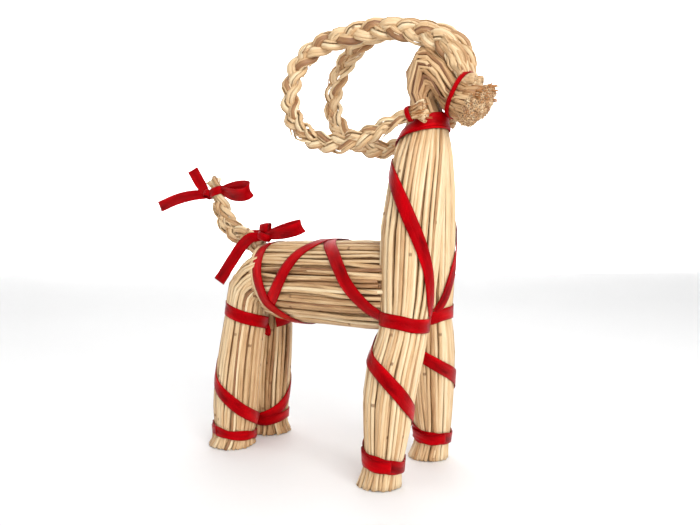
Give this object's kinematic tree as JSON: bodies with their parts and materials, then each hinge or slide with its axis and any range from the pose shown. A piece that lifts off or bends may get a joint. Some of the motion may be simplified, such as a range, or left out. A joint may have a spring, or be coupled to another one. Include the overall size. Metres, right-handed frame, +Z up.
{
  "type": "straw goat ornament",
  "caption": "Standing straw goat with large curled braided horns and an upright braided tail, bound with red satin ribbon tied in bows.",
  "frame": {"origin": "on the ground, under the middle of the goat's box", "axes": "+X the way the goat faces, +Y its left side, +Z up"},
  "size_m": [0.322, 0.1076, 0.34],
  "materials": {
    "straw": "dry rye straw, satin skin, pale cream to tan",
    "straw_braid": "flattened rye straw, braided, satin",
    "ribbon": "red polyester satin, soft sheen"
  },
  "bodies": {
    "root": {"front_bundle": "straw", "rear_bundle": "straw", "horn_right": "straw_braid", "horn_left": "straw_braid", "tail": "straw_braid", "muzzle_ribbon": "ribbon", "throat_ribbon": "ribbon", "chest_ribbon": "ribbon", "waist_ribbon": "ribbon", "body_ribbon_right": "ribbon", "body_ribbon_left": "ribbon", "rump_ribbon": "ribbon", "hip_ribbon": "ribbon", "foreleg_ribbon_right": "ribbon", "foreleg_ribbon_left": "ribbon", "hindleg_ribbon_right": "ribbon", "hindleg_ribbon_left": "ribbon", "horn_tie_right": "ribbon", "horn_tie_left": "ribbon", "tail_ribbon": "ribbon"}
  },
  "joints": []
}
